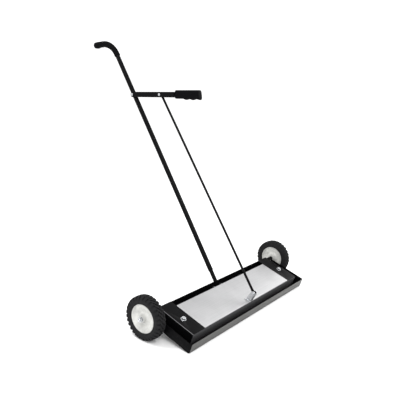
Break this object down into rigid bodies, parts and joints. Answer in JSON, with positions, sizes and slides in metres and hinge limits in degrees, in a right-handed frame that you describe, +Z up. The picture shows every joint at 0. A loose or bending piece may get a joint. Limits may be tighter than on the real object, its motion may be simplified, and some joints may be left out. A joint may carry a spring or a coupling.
{
  "type": "magnetic nail sweeper",
  "caption": "Push-along magnetic nail sweeper: wheeled tray, magnet carriage lifted by a hand lever through a pull rod, and a long bent handle.",
  "frame": {"origin": "centre of the floor footprint of the whole sweeper as it stands let go, on its two tyres and the pan's front bottom edge", "axes": "+X to the sweeper's right along the axle, +Y to the back towards the user's end of the handle, +Z up; the tray is tipped forward about +X"},
  "size_m": [1.1964, 1.2542, 1.2555],
  "materials": {
    "black_paint": "gloss black paint",
    "bare_steel": "bare satin metal",
    "plate": "lightly brushed",
    "zinc": "bright zinc",
    "hub": "off-white paint",
    "tyre": "matt black rubber with block tread",
    "grip": "satin black",
    "bush": "moulded",
    "magnet": "dull dark grey ceramic"
  },
  "bodies": {
    "frame": {"pan_tray": "black_paint", "front_strip": "bare_steel", "front_rail": "black_paint", "back_rail": "black_paint", "end_cover_left": "black_paint", "end_cover_right": "black_paint", "guide_bolt_left": "zinc", "guide_bolt_right": "zinc", "guide_washer_left": "zinc", "guide_washer_right": "zinc", "guide_nut_left": "zinc", "guide_nut_right": "zinc", "axle_bolt_left": "zinc", "axle_bolt_right": "zinc", "axle_spacer_left": "black_paint", "axle_spacer_right": "black_paint", "axle_washer_left": "zinc", "axle_washer_right": "zinc", "axle_nut_left": "zinc", "axle_nut_right": "zinc", "handle_bracket": "black_paint", "bracket_bolt_left": "zinc", "bracket_bolt_right": "zinc", "bracket_nut_left": "zinc", "bracket_nut_right": "zinc", "handle_tube": "black_paint", "handle_bolt": "zinc", "handle_grip": "grip", "pivot_bolt": "zinc", "pivot_nut": "zinc"},
    "wheel_left": {"tyre_left": "tyre", "hub_left": "hub", "bush_left": "bush"},
    "wheel_right": {"tyre_right": "tyre", "hub_right": "hub", "bush_right": "bush"},
    "carriage": {"top_plate": "plate", "backing_bar": "black_paint", "hanger_left": "black_paint", "hanger_right": "black_paint", "magnet_1": "magnet", "magnet_2": "magnet", "magnet_3": "magnet", "magnet_4": "magnet", "magnet_cover": "bare_steel", "clevis_bracket": "zinc", "clevis_pin": "zinc", "clevis_screw_left": "zinc", "clevis_screw_right": "zinc"},
    "rod": {"pull_rod": "black_paint"},
    "lever": {"lever_channel": "black_paint", "lever_stub": "black_paint", "lever_grip": "grip", "rod_bolt": "zinc", "rod_nut": "zinc"}
  },
  "joints": [
    {"name": "wheel_left_spin", "type": "hinge", "parent": "frame", "child": "wheel_left", "pos_m": [-0.554, -0.3999, 0.1], "axis": [1, 0, 0], "continuous": true},
    {"name": "wheel_right_spin", "type": "hinge", "parent": "frame", "child": "wheel_right", "pos_m": [0.554, -0.3999, 0.1], "axis": [1, 0, 0], "continuous": true},
    {"name": "carriage_lift", "type": "slide", "parent": "frame", "child": "carriage", "axis": [0, -0.2523, 0.9677], "range_m": [0, 0.03]},
    {"name": "lever_pivot", "type": "hinge", "parent": "frame", "child": "lever", "pos_m": [0, 0.28774, 0.9834], "axis": [1, 0, 0], "range_deg": [-6.2, 0]},
    {"name": "rod_pivot", "type": "hinge", "parent": "carriage", "child": "rod", "pos_m": [0, -0.60327, 0.11106], "axis": [1, 0, 0], "range_deg": [-0.7, 0]}
  ],
  "couplings": [
    {"joint": "lever_pivot", "follows": "carriage_lift", "rad_per_m": -3.53},
    {"joint": "rod_pivot", "follows": "carriage_lift", "rad_per_m": -0.39}
  ]
}
